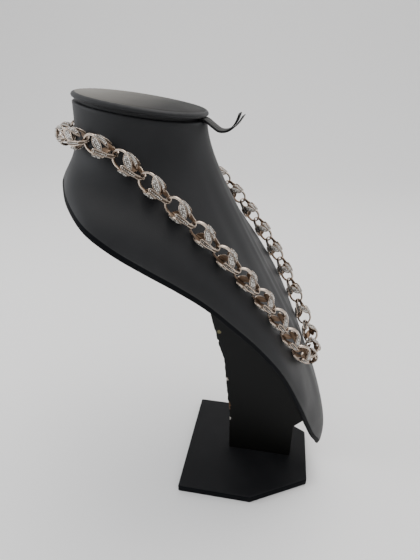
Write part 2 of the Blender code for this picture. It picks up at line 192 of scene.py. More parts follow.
bust_cover = leatherette("bust leatherette", (0.0135, 0.0140, 0.0152), (0.0185, 0.0190, 0.0205),
                         grain=0.0007, roughness=0.52, shine=0.22, sheen=0.03)
# A copy of the leatherette painted near black, as painted shade, for the rim's band, the hem and the base's
# sides.
edge_cover_painted_shade = leatherette("rim leatherette painted dark for shade", (0.0014, 0.0018, 0.0027), (0.0024, 0.0030, 0.0043),
                         grain=0.0007, roughness=0.60, shine=0.06, sheen=0.0)
# The cap's cover is painted from near black at the front to pale at the back: a painted reflection of the
# bright surround.
cap_cover_with_painted_reflection = leatherette("cap leatherette with painted reflection", (0.007, 0.007, 0.0065), (0.250, 0.239, 0.217),
                        grain=0.0009, roughness=0.62, shine=0.20, sheen=0.0, painted_reflection_span=(0.064, 0.138))
board_cover = leatherette("board cover", (0.0080, 0.0082, 0.0092), (0.0120, 0.0122, 0.0132),
                          grain=0.0006, roughness=0.55, shine=0.14, sheen=0.02)
shell_inside, inside_shader = new_material("moulded inside", (0.007, 0.007, 0.007), 0.75)
relief(shell_inside, inside_shader, noise(shell_inside, 0.004, 4.0), 0.0003, 0.6)
print("finishes of the stand: 5")

# %% [markdown]
# Silver in a light tent shows the tent: it is white where it faces the walls and dark where it faces the
# bust. Old polish and oxide stay in the corners of a cast link and turn them brown. The ambient occlusion
# node finds those corners, so it blends a warm dark colour into them; that colour is partly oxide and partly
# painted shade, for the shade that falls in the corners. The inner sides of a link are never polished, and
# they get a brown silver of their own. The ground between the stones is the darkest: partly oxide, where no
# cloth reaches, and partly painted shade between the stones. The stones are hard and clear with flat facets;
# some are painted bright and some dark, at random, as painted reflections.

# %% Finishes of the chain
CORNER_SIZE = 0.0013
CORNER_SAMPLES = 6
CLOUD_SIZE = 0.0025
SCRATCH_SIZE = 0.0009
SCRATCH_DEPTH = 0.00004
STONE_PATCH = 0.0011      # small enough that neighbouring stones differ


def silver_finish(name, bright, oxide_and_shade, roughness, oxide_and_shade_end):
    """The dark colour, partly oxide and partly painted shade, blends in where the corners node falls under
    the given end.
    """
    material, shader = new_material(name, bright, roughness, 1.0)
    corners = add_node(material, "AmbientOcclusion", {"Distance": CORNER_SIZE})
    corners.samples = CORNER_SAMPLES
    colour = blend_colours(material, corners.outputs["AO"], oxide_and_shade, bright, 0.30, oxide_and_shade_end)
    set_colour(material, shader, colour)
    vary_roughness(material, shader, noise(material, CLOUD_SIZE, 3.0), roughness - 0.07, roughness + 0.10)
    relief(material, shader, noise(material, SCRATCH_SIZE, 2.0), SCRATCH_DEPTH, 0.5)
    return material


silver = silver_finish("polished silver", (0.56, 0.465, 0.385), (0.050, 0.030, 0.020), 0.25, 0.88)
inner_silver = silver_finish("inner silver", (0.24, 0.165, 0.112), (0.030, 0.016, 0.010), 0.38, 0.98)
# The ground between the stones is dark silver: partly oxide and partly painted shade.
dark_silver = silver_finish("oxidised and shaded silver", (0.110, 0.085, 0.065), (0.020, 0.014, 0.010), 0.45, 0.98)
stone_clear, stone_shader = new_material("clear stone", (0.80, 0.80, 0.75), 0.06)
stone_shader.inputs["IOR"].default_value = 2.1
stone_shader.inputs["Coat Weight"].default_value = 0.6
stone_shader.inputs["Coat Roughness"].default_value = 0.03
# Painted reflections: neighbouring stones are painted bright or dark, for the light and the dark that their
# facets reflect.
stone_painted_glints = noise(stone_clear, STONE_PATCH, 0.0)
stone_colour = blend_colours(stone_clear, stone_painted_glints, (0.17, 0.155, 0.135), (0.84, 0.82, 0.77), 0.40, 0.58)
set_colour(stone_clear, stone_shader, stone_colour)
print("finishes of the chain: 4")

# %% [markdown]
# Pieces are built as grids of points. A loft joins rings of points with quads, which suits anything with a
# changing section: the bust, the cap, the bands of a link. A smooth table gives the sizes between its few
# rows, so a form is set by a handful of numbers.

# %% Helpers for forms
UP = Vector((0.0, 0.0, 1.0))


def loft(shape, rings, closed=True, finish=lambda row, column: 0):
    """Quads between rings of points. Finish gives each its material. Returns the rings of vertices."""
    rows = [[shape.verts.new(point) for point in ring] for ring in rings]
    spans = len(rows[0]) if closed else len(rows[0]) - 1
    for row, (lower, upper) in enumerate(zip(rows, rows[1:])):
        for i in range(spans):
            j = (i + 1) % len(lower)
            face = shape.faces.new((lower[i], lower[j], upper[j], upper[i]))
            face.material_index = finish(row, i)
    return rows


def close_ends(shape, rows, material=0):
    for row in (rows[0], rows[-1]):
        shape.faces.new(row).material_index = material


def read_table(rows, at):
    """Smooth values between the rows of a table. The first column is the place."""
    k = 1
    while k < len(rows) - 1 and at > rows[k][0]:
        k += 1
    start, end = rows[k - 1], rows[k]
    before, after = rows[max(k - 2, 0)], rows[min(k + 1, len(rows) - 1)]
    span = end[0] - start[0]
    t = min(max((at - start[0]) / span, 0.0), 1.0)
    values = []
    for column in range(1, len(start)):
        slope_a = (end[column] - before[column]) / (end[0] - before[0]) * span
        slope_b = (after[column] - start[column]) / (after[0] - start[0]) * span
        values.append((2 * t**3 - 3 * t**2 + 1) * start[column] + (t**3 - 2 * t**2 + t) * slope_a
                      + (3 * t**2 - 2 * t**3) * end[column] + (t**3 - t**2) * slope_b)
    return values


def smooth_line(points, steps):
    """A smooth open line through points of any number of values."""
    padded = [points[0], *points, points[-1]]
    line = []
    for a, b, c, d in zip(padded, padded[1:], padded[2:], padded[3:]):
        for step in range(steps):
            t = step / steps
            line.append([0.5 * (2 * q + (r - p) * t + (2 * p - 5 * q + 4 * r - s) * t * t
                                + (3 * q - p - 3 * r + s) * t**3) for p, q, r, s in zip(a, b, c, d)])
    line.append(list(points[-1]))
    return line


def finish_mesh(name, shape, materials, sharp=40):
    bmesh.ops.recalc_face_normals(shape, faces=shape.faces)
    mesh = bpy.data.meshes.new(name)
    shape.to_mesh(mesh)
    shape.free()
    for material in materials:
        mesh.materials.append(material)
    mesh.shade_smooth()
    mesh.set_sharp_from_angle(angle=math.radians(sharp))
    return mesh


def add_piece(name, mesh, slot, *replaced, place=None):
    """Puts a piece in the scene, riding on the stand, in place of its plain solids."""
    piece = bpy.data.objects.new(name, mesh)
    scene.collection.objects.link(piece)
    if place:
        piece.matrix_world = place
    if replaced:
        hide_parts(*replaced)
    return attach(piece, "root")


print("helpers for forms: 6")

# %% [markdown]
# The bust is one moulded shell. Ribs run down from the neck's oval to the rim, and each rib is a curve with
# two handles: one leaves the neck straight down, the other meets the rim at its own lean. The rim itself is
# high at the back and falls to a narrow tip under the chest. The sizes are the model's own.

# %% The bust's form
NECK_LENGTH = 0.0886
NECK_WIDTH = 0.0968
NECK_CENTRE_Y = 0.0872
NECK_TOP = 0.3056
NECK_TILT = math.radians(8.7)
BUST_WIDTH = 0.1727
BUST_FRONT_Y = -0.0631
BUST_REACH = 0.2044
BUST_TIP_Z = 0.0226
BUST_RISE = 0.2413
BUST_WALL = 0.0030
NECK_DROP = 0.0600
CHEST_FLARE = 0.0800
OVAL_POWER = 2.16
BUST_COLUMNS = 144
BUST_ROWS = 48
RIM = (
    # angle, width, reach, rise
    (0, 0.000, -0.007, 0.000),
    (3, 0.103, 0.010, 0.042),
    (7, 0.206, 0.038, 0.098),
    (11, 0.320, 0.073, 0.183),
    (17, 0.457, 0.113, 0.289),
    (26, 0.640, 0.196, 0.460),
    (34, 0.754, 0.280, 0.571),
    (44, 0.846, 0.370, 0.661),
    (53, 0.904, 0.448, 0.728),
    (62, 0.950, 0.526, 0.778),
    (73, 0.985, 0.620, 0.826),
    (86, 1.000, 0.712, 0.872),
    (97, 0.970, 0.792, 0.916),
    (110, 0.815, 0.866, 0.956),
    (125, 0.610, 0.922, 0.982),
    (151, 0.310, 0.982, 0.997),
    (180, 0.000, 1.000, 1.000),
)
RIBS = (
    # angle, drop, flare, lean
    (0, 0.76, 0.92, 106),
    (25, 0.90, 0.45, 107),
    (50, 0.88, 0.38, 109),
    (75, 0.84, 0.36, 102),
    (100, 0.86, 0.26, 86),
    (140, 0.60, 0.26, 64),
    (180, 0.52, 0.22, 60),
)


def mirrored(rows, odd=()):
    """A table from 0 to 180 degrees, with the two rows that follow by symmetry at its ends."""
    def mirror(row, pivot):
        values = [-v if k in odd else v for k, v in enumerate(row[1:])]
        return (2 * pivot - row[0], *values)
    return [mirror(rows[1], rows[0][0]), *rows, mirror(rows[-2], rows[-1][0])]


RIM_TABLE = mirrored(RIM, odd=(0,))
RIB_TABLE = mirrored(RIBS)


def oval(length, width, angle):
    """A point of an oval in its own plane: across, and from front (-) to back (+)."""
    c = math.cos(angle)
    s = math.sin(angle)
    across = math.copysign(abs(s) ** (2 / OVAL_POWER), s) * width / 2
    along = -math.copysign(abs(c) ** (2 / OVAL_POWER), c) * length / 2
    return across, along


def neck_plane(across, along, height):
    """A point over the neck's tilted top plane."""
    centre = Vector((0.0, NECK_CENTRE_Y, NECK_TOP))
    back = Vector((0.0, math.cos(NECK_TILT), math.sin(NECK_TILT)))
    over = Vector((0.0, -math.sin(NECK_TILT), math.cos(NECK_TILT)))
    return centre + Vector((across, 0.0, 0.0)) + back * along + over * height


def bust_point(angle, share):
    """A point of the outer surface. Share runs from 0 at the neck to 1 at the rim."""
    side = math.copysign(1.0, angle)
    width, reach, rise = read_table(RIM_TABLE, abs(angle))
    drop, flare, lean = read_table(RIB_TABLE, abs(angle))
    across, along = oval(NECK_LENGTH, NECK_WIDTH, math.radians(angle))
    top = neck_plane(across, along, 0.0)
    rim = Vector((side * width * BUST_WIDTH / 2, BUST_FRONT_Y + reach * BUST_REACH,
                  BUST_TIP_Z + rise * BUST_RISE))
    inward = Vector((-rim.x, NECK_CENTRE_Y - rim.y, 0.0)).normalized()
    lean = math.radians(lean)
    handle_top = top - UP * drop * NECK_DROP
    handle_rim = rim + (inward * math.cos(lean) + UP * math.sin(lean)) * flare * CHEST_FLARE
    rest = 1.0 - share
    return (top * rest**3 + handle_top * 3 * rest**2 * share
            + handle_rim * 3 * rest * share**2 + rim * share**3)


print("tip of the chest:", [round(v, 4) for v in bust_point(0.0, 1.0)])

# %% [markdown]
# The shell is one loft, so its wall is made by hand. The rings start at the neck's top, run down the outside,
# go round the rim by a short profile and climb the inner wall. The cover bulges a little over a black band,
# which is its folded edge. The band's black is painted shade, for the unlit turn of the rim. The band steps
# in on the chest, and lies nearly flush at the shoulders.

# %% The bust's shell
MOST_AT_CHEST = 0.38      # share of even spacing; the rest crowds the ribs towards the chest
CROWDING = 1.7
NECK_ROUND = 0.0007
INNER_ROWS = 24
INNER_TOP = 0.03          # share of a rib at which the inner wall stops under the neck's top
RIM_EDGE = (
    # distance up from the rim, depth under the outer surface
    (0.0095, 0.0000),
    (0.0078, -0.0003),
    (0.0066, -0.0004),
    (0.0057, -0.0002),
    (0.0052, 0.0003),
    (0.0036, 0.0006),
    (0.0016, 0.0013),
    (0.0004, 0.0021),
    (0.0001, 0.0025),
    (0.0000, 0.0028),
    (0.0010, 0.0030),
)
TIP_FOLD = 0.30           # share of the fold's depth that is left at the tip of the chest
TIP_SPREAD = 14.0         # degrees over which the fold deepens from there
SHOULDER_BREADTH = 0.82   # the fold's breadth at the shoulders, as a share of that at the chest
SHOULDER_FOLD = 0.12      # and its depth
SHOULDER_ANGLE = 60.0     # degrees from the chest to there
RIM_BEAD = 3              # rings of the profile that belong to the cover above the fold
SHARE_STEP = 0.01         # steps along and across a rib, for the direction of the surface
ANGLE_STEP = 0.5


def rib_angles(columns):
    half = columns // 2
    angles = []
    for i in range(columns):
        turns = i if i <= half else i - columns
        share = abs(turns) / half
        angle = 180.0 * (MOST_AT_CHEST * share + (1 - MOST_AT_CHEST) * share**CROWDING)
        angles.append(math.copysign(angle, turns) if turns else 0.0)
    return angles


def inner_point(angle, share, inset):
    """A point inside the shell, inset from its outer surface."""
    here = bust_point(angle, share)
    along = bust_point(angle, min(share + SHARE_STEP, 1.0)) - bust_point(angle, share - SHARE_STEP)
    across = bust_point(angle + ANGLE_STEP, share) - bust_point(angle - ANGLE_STEP, share)
    normal = along.cross(across).normalized()
    centre = Vector((0.0, NECK_CENTRE_Y, here.z))
    if normal.dot(centre - here) < 0:
        normal = -normal
    return here + normal * inset


def rib_length(angle):
    """How far the rim lies from the neck along a rib, at the pace that the rib has near the rim."""
    return (bust_point(angle, 1.0) - bust_point(angle, 0.9)).length / 0.1


def make_bust():
    shape = bmesh.new()
    angles = rib_angles(BUST_COLUMNS)
    lengths = [rib_length(a) for a in angles]
    top_share = NECK_ROUND / NECK_DROP / 3
    sideways = [min(abs(a) / SHOULDER_ANGLE, 1.0) for a in angles]
    breadths = [1 - (1 - SHOULDER_BREADTH) * share for share in sideways]
    last = [1 - RIM_EDGE[0][0] * breadth / length for length, breadth in zip(lengths, breadths)]
    rings = [[inner_point(a, 0.0, NECK_ROUND) for a in angles], [bust_point(a, top_share) for a in angles]]
    for k in range(1, BUST_ROWS + 1):
        rings.append([bust_point(a, end * k / BUST_ROWS) for a, end in zip(angles, last)])
    edge_start = len(rings) - 1 + RIM_BEAD
    folds = [min(TIP_FOLD + (1 - TIP_FOLD) * min(abs(a) / TIP_SPREAD, 1.0), 1 - (1 - SHOULDER_FOLD) * share)
             for a, share in zip(angles, sideways)]
    for up, inset in RIM_EDGE[1:-2]:
        rings.append([inner_point(a, 1 - up * breadth / length, inset * fold)
                      for a, length, breadth, fold in zip(angles, lengths, breadths, folds)])
    for up, inset in RIM_EDGE[-2:]:
        rings.append([inner_point(a, 1 - up / length, inset) for a, length in zip(angles, lengths)])
    edge_end = len(rings) - 1
    for k in range(1, INNER_ROWS + 1):
        t = k / INNER_ROWS
        rings.append([inner_point(a, (1 - RIM_EDGE[-1][0] / length) * (1 - t) + INNER_TOP * t, BUST_WALL)
                      for a, length in zip(angles, lengths)])
    rows = loft(shape, rings, finish=lambda row, _: 0 if row < edge_start else 2 if row < edge_end else 1)
    shape.faces.new(rows[0])
    shape.faces.new(rows[-1]).material_index = 1
    mesh = finish_mesh("bust", shape, [bust_cover, shell_inside, edge_cover_painted_shade], 60)
    return add_piece("bust", mesh, "leatherette", "bust_shell")


bust = make_bust()
print("bust triangles:", sum(len(face.vertices) - 2 for face in bust.data.polygons))

# %% [markdown]
# Under the rim, the leatherette is turned over the edge and glued inside. Nobody trims that hem with care,
# so its inner edge wanders. It is a thin strip that follows the ribs a little way up on the inner wall.

# %% The turned hem inside the rim
HEM_DEPTH = 0.0120
HEM_WANDER = 0.0022
HEM_PROUD = 0.0005
HEM_START = 0.0012        # its distance from the rim
HEM_SUNK = 0.0001
HEM_ROWS = 4


def make_hem():
    shape = bmesh.new()
    rings = [[] for _ in range(HEM_ROWS + 1)]
    for i, angle in enumerate(rib_angles(BUST_COLUMNS)):
        wander = math.sin(i * 0.9) + 0.7 * math.sin(i * 2.3 + 1.0)
        depth = HEM_DEPTH + HEM_WANDER * wander
        for k in range(HEM_ROWS + 1):
            share = 1.0 - (HEM_START + depth * k / HEM_ROWS) / rib_length(angle)
            inset = HEM_SUNK if k in (0, HEM_ROWS) else HEM_PROUD
            rings[k].append(inner_point(angle, share, BUST_WALL + inset))
    loft(shape, rings)
    # The hem takes the leatherette that is painted dark for shade.
    piece = add_piece("rim_hem", finish_mesh("rim_hem", shape, [edge_cover_painted_shade]), "leatherette")
    wall = piece.modifiers.new("wall", "SOLIDIFY")
    wall.thickness = HEM_PROUD
    wall.offset = 1.0


make_hem()
print("hem depth:", HEM_DEPTH)

# %% [markdown]
# The cap is a board with a thin pad under leatherette, a little wider than the neck. It stands on a smaller
# foot, and the gap between the two reads as a dark line. Its section is a short table of insets and heights,
# lofted round the neck's oval, with a fold line just inside the edge. Its side is as dark as the bust.

# %% The padded cap
CAP_LENGTH = 0.0890
CAP_WIDTH = 0.1026
CAP_COLUMNS = 96
CLEARANCE = 0.0003
FOOT_HEIGHT = 0.0025
PUCKER = 0.00012          # the cover's small waves at the edge
PUCKER_REACH = 0.003
CAP_SIDE_RINGS = 7        # rings of the section that belong to the darker side
CAP_SECTION = (
    # inset from the outline, height over the foot
    (0.0045, CLEARANCE - FOOT_HEIGHT),
    (0.0045, 0.0000),
    (0.0014, -0.0001),
    (0.0004, 0.0004),
    (0.0000, 0.0012),
    (0.0002, 0.0020),
    (0.0010, 0.0028),
    (0.0022, 0.0033),
    (0.0028, 0.0034),
    (0.0033, 0.0032),
    (0.0039, 0.0035),
    (0.0060, 0.0037),
    (0.0120, 0.0041),
    (0.0220, 0.0044),
    (0.0340, 0.0046),
    (0.0440, 0.0046),
)


def make_cap():
    shape = bmesh.new()
    rings = []
    for inset, height in CAP_SECTION:
        ring = []
        for i in range(CAP_COLUMNS):
            angle = 2 * math.pi * i / CAP_COLUMNS
            pucker = PUCKER * math.sin(i * 2.9) * math.exp(-inset / PUCKER_REACH)
            across, along = oval(CAP_LENGTH - 2 * inset, CAP_WIDTH - 2 * inset, angle)
            ring.append(neck_plane(across, along, FOOT_HEIGHT + height + pucker))
        rings.append(ring)
    close_ends(shape, loft(shape, rings, finish=lambda row, _: 1 if row < CAP_SIDE_RINGS else 0))
    mesh = finish_mesh("padded_cap", shape, [cap_cover_with_painted_reflection, bust_cover], 60)
    return add_piece("padded_cap", mesh, "leatherette", "neck_cap")


make_cap()
print("cap rings:", len(CAP_SECTION))

# %% [markdown]
# The strap is a doubled band whose two layers come apart at the free end. Each layer is a flat section swept
# along the strap's path, one a little over the other, and the gap between them opens over the last quarter.
# Its upper side is a ribbed tape, so its ribs are bump across the band, with painted shade in the grooves
# between them, and its edges are plain black.

# %% The strap
STRAP_WIDTH = 0.0170
LAYER_THICKNESS = 0.0007
STRAP_SPLIT = 0.70
SPLIT_GAP = 0.0011
STRAP_STEPS = 8
TAPE_RIBS = 320.0
FLAT_SIDES = (1, 5)       # sides of the section that carry the tape
STRAP_PATH = (
    # y and z from the middle of the groove at the front of the neck
    (0.0040, 0.0006),
    (0.0000, 0.0000),
    (-0.0050, -0.0036),
    (-0.0100, -0.0066),
    (-0.0158, -0.0060),
    (-0.0206, -0.0020),
    (-0.0240, 0.0040),
)


def ribbed_tape():
    material, shader = new_material("ribbed tape", (0.060, 0.060, 0.057), 0.75)
    inputs = {"Vector": own_place(material), "Scale": TAPE_RIBS, "Distortion": 0.4}
    ribs = add_node(material, "TexWave", inputs)
    ribs.bands_direction = "Y"
    height = ribs.outputs["Fac"]
    relief(material, shader, height, 0.00012, 0.8)
    # The colour follows the ribs, darker in the grooves between them: painted shade.
    colour = blend_colours(material, height, (0.017, 0.017, 0.016), (0.042, 0.042, 0.040), 0.2, 0.8)
    set_colour(material, shader, colour)
    return material


def make_strap():
    front = neck_plane(0.0, -CAP_LENGTH / 2, FOOT_HEIGHT / 2)
    line = smooth_line([(front.y + y, front.z + z) for y, z in STRAP_PATH], STRAP_STEPS)
    half = STRAP_WIDTH / 2
    deep = LAYER_THICKNESS / 2
    corner = ((-half, deep * 0.4), (-half * 0.95, deep))
    upper = (*corner, *((-x, h) for x, h in corner[::-1]))
    section = (*upper, *((-x, -h) for x, h in upper))
    shape = bmesh.new()
    for layer in (1, -1):
        rings = []
        for i, (y, z) in enumerate(line):
            before, after = line[max(i - 1, 0)], line[min(i + 1, len(line) - 1)]
            run = Vector((0.0, after[0] - before[0], after[1] - before[1])).normalized()
            over = Vector((0.0, run.z, -run.y))
            share = i / (len(line) - 1)
            opening = max(share - STRAP_SPLIT, 0.0) / (1.0 - STRAP_SPLIT)
            middle = Vector((0.0, y, z)) + over * layer * (LAYER_THICKNESS * 0.52 + SPLIT_GAP * opening**1.5)
            rings.append([middle + Vector((x, 0.0, 0.0)) + over * h for x, h in section])
        close_ends(shape, loft(shape, rings, finish=lambda _, side: 1 if side in FLAT_SIDES else 0))
    mesh = finish_mesh("strap", shape, [board_cover, ribbed_tape()])
    add_piece("strap", mesh, "leatherette", "neck_strap")


make_strap()
print("strap points:", len(STRAP_PATH))

# %% [markdown]
# The base is a board with rounded edges, and its sides are painted blacker, as painted shade. The leg is a
# board too. It takes its outline from the model, with more points on its back edge, so that the edge can be
# torn in a few places and worn between them. At a tear the paper is gone and the board shows.

# %% The base
BASE_ROUND = 0.0012
BASE_NOSE = 0.0567
BASE_CLIP = 0.0480


def soften(piece, width, segments):
    edge = piece.modifiers.new("edge", "BEVEL")
    edge.width = width
    edge.segments = segments
    edge.limit_method = "ANGLE"
    edge.angle_limit = math.radians(30)
    edge.harden_normals = True


def make_base():
    low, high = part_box("base_plate")
    clip = low.y + BASE_CLIP
    nose = BASE_NOSE / 2
    outline = [(low.x, high.y), (low.x, clip), (-nose, low.y), (nose, low.y), (high.x, clip),
               (high.x, high.y)]
    shape = bmesh.new()
    rings = [[(x, y, z) for x, y in outline] for z in (low.z, high.z)]
    # The sides get the leatherette painted dark, as painted shade.
    close_ends(shape, loft(shape, rings, finish=lambda row, side: 1))
    mesh = finish_mesh("base", shape, [board_cover, edge_cover_painted_shade])
    soften(add_piece("base", mesh, "board", "base_plate"), BASE_ROUND, 4)


make_base()

# %% The leg
LEG_ROUND = 0.0007
TEAR_STEP = 0.0010        # edges shorter than this stay whole
TEAR_CUTS = 28
EDGE_WANDER = 0.00025
TEARS = (
    # height, depth and half height of a tear in the leg's back edge
    (0.1345, 0.0006, 0.0030),
    (0.1266, 0.0016, 0.0015),
    (0.0878, 0.0013, 0.0013),
    (0.0580, 0.0005, 0.0050),
    (0.0428, 0.0005, 0.0012),
)
BARE_SPOTS = (
    # y, height, radius and colour of a spot where the paper is gone
    (0.0298, 0.1359, 0.0016, (0.16, 0.14, 0.075)),
    (0.0314, 0.1266, 0.0016, (0.10, 0.08, 0.055)),
    (0.0222, 0.0878, 0.0016, (0.34, 0.31, 0.27)),
    (0.0197, 0.0615, 0.0018, (0.09, 0.055, 0.030)),
    (0.0195, 0.0580, 0.0020, (0.10, 0.055, 0.030)),
    (0.0194, 0.0545, 0.0016, (0.09, 0.055, 0.030)),
    (0.0187, 0.0428, 0.0020, (0.50, 0.48, 0.44)),
)
SHADE_TOP = 0.14          # height up to which the leg is darker
RAGGED = 3.0              # how ragged a spot is, and where it starts and ends, all in its radius
SPOT_START = 2.6
SPOT_END = 2.3


def worn_and_shaded_board():
    """The board cover, painted darker towards the foot as painted shade, with bare spots near the tears."""
    material, shader = new_material("worn board cover with painted shade", (0.01, 0.01, 0.01), 0.50)
    tree = material.node_tree
    place = own_place(material)
    parts = add_node(material, "SeparateXYZ", {"Vector": place})
    # The leg is painted darker from SHADE_TOP down to the foot: painted shade.
    foot_shade = rescale(material, parts.outputs["Z"], 0.0, SHADE_TOP)
    colour = blend_colours(material, foot_shade, (0.0030, 0.0030, 0.0024), (0.0058, 0.0064, 0.0066), 0.0, 1.0)
    grain = noise(material, 0.0012, 3.0)
    flat = add_node(material, "VectorMath", {0: place, 1: (0.0, 1.0, 1.0)}, "MULTIPLY").outputs["Vector"]
    for y, z, radius, bare in BARE_SPOTS:
        away = add_node(material, "VectorMath", {0: flat, 1: (0.0, y, z)}, "DISTANCE").outputs["Value"]
        ragged = add_node(material, "Math", {0: grain, 1: radius * RAGGED, 2: away}, "MULTIPLY_ADD")
        inside = rescale(material, ragged.outputs["Value"], radius * SPOT_START, radius * SPOT_END)
        mix = tree.nodes.new("ShaderNodeMix")
        mix.data_type = "RGBA"
        tree.links.new(inside, mix.inputs["Factor"])
        tree.links.new(colour, mix.inputs[6])
        mix.inputs[7].default_value = (*bare, 1.0)
        colour = mix.outputs[2]
    set_colour(material, shader, colour)
    relief(material, shader, noise(material, 0.0006, 3.0), GRAIN_DEPTH, GRAIN_STRENGTH)
    shader.inputs["Specular IOR Level"].default_value = 0.14
    return material


def back_points(shape):
    return {vert for face in shape.faces if face.normal.y > 0.7 for vert in face.verts}


def make_leg():
    shape = bmesh.new()
    shape.from_mesh(nodes["leg"].data)
    bmesh.ops.transform(shape, matrix=nodes["leg"].matrix_world, verts=shape.verts)
    bmesh.ops.remove_doubles(shape, verts=shape.verts, dist=1e-6)
    bmesh.ops.dissolve_limit(shape, angle_limit=math.radians(0.5), verts=shape.verts, edges=shape.edges)
    shape.normal_update()
    back = back_points(shape)
    steep = [edge for edge in shape.edges if all(vert in back for vert in edge.verts)
             and abs(edge.verts[0].co.z - edge.verts[1].co.z) > TEAR_STEP]
    bmesh.ops.subdivide_edges(shape, edges=steep, cuts=TEAR_CUTS)
    shape.normal_update()
    for vert in back_points(shape):
        z = vert.co.z
        depth = EDGE_WANDER * (0.5 + 0.5 * math.sin(z * 1900 + 2 * math.sin(z * 760)))
        for middle, deep, half in TEARS:
            depth += deep * max(0.0, 1.0 - abs((z - middle) / half)) ** 0.7
        vert.co.y -= depth
    piece = add_piece("leg_board", finish_mesh("leg_board", shape, [worn_and_shaded_board()], 30), "board", "leg")
    soften(piece, LEG_ROUND, 2)
    return piece


leg = make_leg()
print("leg points:", len(leg.data.vertices))

# %% [markdown]
# Each link is cast in one piece, as a cage. A round start loop and a narrow end loop stand at right angles,
# and four slanted leaves join their arms. In the link's own axes, x runs from the start tip to the end tip,
# the start loop lies in x and z and the end loop in x and y. First come the lines that the two bands follow:
# each is a half circle that runs out into two arms, given as place, distance from the axis and width.

# %% The lines of a link's two loops
LINK_LENGTH = 0.0237
RING_RADIUS = 0.0062
END_RADIUS = 0.0041
BAND_WALL = 0.0011
TIP_WIDTH = 0.0016
ARM_WIDTH = 0.0034
LINE_STEPS = 4
TURN_STEP = 15            # degrees
SWELL_START = 30          # degrees from the tip at which a loop begins to widen
SWELL_SPAN = 45
RING_ARM = (
    # place, distance and width, as shares of the length, RING_RADIUS and ARM_WIDTH
    (0.300, 1.000, 0.62),
    (0.345, 1.010, 0.90),
    (0.400, 1.010, 1.08),
    (0.470, 0.985, 1.12),
    (0.540, 0.930, 1.10),
    (0.600, 0.830, 0.96),
    (0.650, 0.680, 0.74),
    (0.690, 0.500, 0.48),
    (0.712, 0.380, 0.26),
    (0.720, 0.330, 0.10),
)
END_ARM = (
    (0.820, 0.735, 0.72),
    (0.740, 0.810, 0.90),
    (0.660, 0.880, 1.00),
    (0.580, 0.930, 1.00),
    (0.500, 0.965, 1.00),
    (0.455, 0.980, 0.84),
    (0.430, 0.985, 0.52),
    (0.418, 0.985, 0.12),
)


def turn_line(radius, last_angle, swelling):
    """Depth, distance and width round the turn of a loop."""
    points = []
    for angle in range(0, last_angle + 1, TURN_STEP):
        a = math.radians(angle)
        swell = min(max((angle - SWELL_START) / SWELL_SPAN, 0.0), 1.0) * swelling
        width = TIP_WIDTH + (ARM_WIDTH - TIP_WIDTH) * swell
        points.append((radius * (1 - math.cos(a)), radius * math.sin(a), width))
    return points


def arm_points(rows):
    return [(place * LINK_LENGTH, RING_RADIUS * out, ARM_WIDTH * width) for place, out, width in rows]


def whole_line(half):
    """Both halves of a loop, from the tip of one arm to the tip of the other."""
    line = smooth_line(half, LINE_STEPS)
    return [(x, r, w) for x, r, w in line[::-1]] + [(x, -r, w) for x, r, w in line[1:]]


ring_line = whole_line(turn_line(RING_RADIUS, 90, 0.05) + arm_points(RING_ARM))
end_turn = [(LINK_LENGTH - depth, out, width) for depth, out, width in turn_line(END_RADIUS, 60, 1.0)]
end_line = whole_line(end_turn + arm_points(END_ARM))
print("points of the two lines:", len(ring_line), len(end_line))

# %% [markdown]
# A band is swept along its line. Its section is flat inside and slightly domed outside, with soft edges, and
# its width follows the line. The inner half of the section gets the inner silver. Thin round rails edge the
# rows of stones and catch the light.

# %% Bands and rails
BAND_DOME = 0.00022
EDGE_ROUND = 0.00018      # how far the outer and the inner edges of a band are set back
INNER_ROUND = 0.00012
RAIL_SIDES = 6
DARK_SINK = 0.0002        # a band that lies deeper than this carries stones on dark ground
OUTER_SECTION = (-1.00, -0.86, -0.45, 0.0, 0.45, 0.86, 1.00)     # shares of half the width
INNER_SECTION = (0.97, 0.6, 0.0, -0.6, -0.97)


def line_frames(line, out, outward):
    """Place, outward direction and half width at each point of a loop's line."""
    frames = []
    for i, (x, distance, width) in enumerate(line):
        before, after = line[max(i - 1, 0)], line[min(i + 1, len(line) - 1)]
        run = Vector((after[0] - before[0], after[1] - before[1])).normalized()
        flat = Vector((run.y, -run.x)) * outward
        normal = Vector((flat.x, 0.0, 0.0)) + out * flat.y
        frames.append((Vector((x, 0.0, 0.0)) + out * distance, normal, width / 2))
    return frames


def make_band(shape, frames, side, sink):
    """Sweeps a band. Sink is how far its surface lies under the line, for each point."""
    outer = len(OUTER_SECTION)
    inner_sides = range(outer, outer + len(INNER_SECTION) - 1)

    def finish(row, k):
        dark = min(sink[row], sink[row + 1]) >= DARK_SINK and 0 < k < outer - 2
        return 1 if k in inner_sides else 3 if dark else 0

    rings = []
    for (place, normal, half), low in zip(frames, sink):
        ring = []
        for across in OUTER_SECTION:
            drop = EDGE_ROUND if abs(across) == 1.0 else 0.0
            lift = BAND_DOME * (1 - across**2) - drop - low
            ring.append(place + side * across * half + normal * lift)
        for across in INNER_SECTION:
            inset = INNER_ROUND if abs(across) > 0.9 else 0.0
            ring.append(place + side * across * half - normal * (BAND_WALL - inset))
        rings.append(ring)
    close_ends(shape, loft(shape, rings, finish=finish))


def make_rail(shape, places, normals, radius, closed=False):
    """A thin round rail through the places, half sunk in the surface."""
    rings = []
    last = len(places) - 1
    for i, (place, normal) in enumerate(zip(places, normals)):
        before = places[i - 1] if closed or i else places[0]
        after = places[(i + 1) % len(places)] if closed or i < last else places[-1]
        side = (after - before).cross(normal).normalized()
        turns = [2 * math.pi * k / RAIL_SIDES for k in range(RAIL_SIDES)]
        rings.append([place + (normal * math.cos(t) + side * math.sin(t)) * radius for t in turns])
    if closed:
        rings.append(rings[0])
    rows = loft(shape, rings)
    if not closed:
        close_ends(shape, rows)


print("sides of a rail:", RAIL_SIDES)

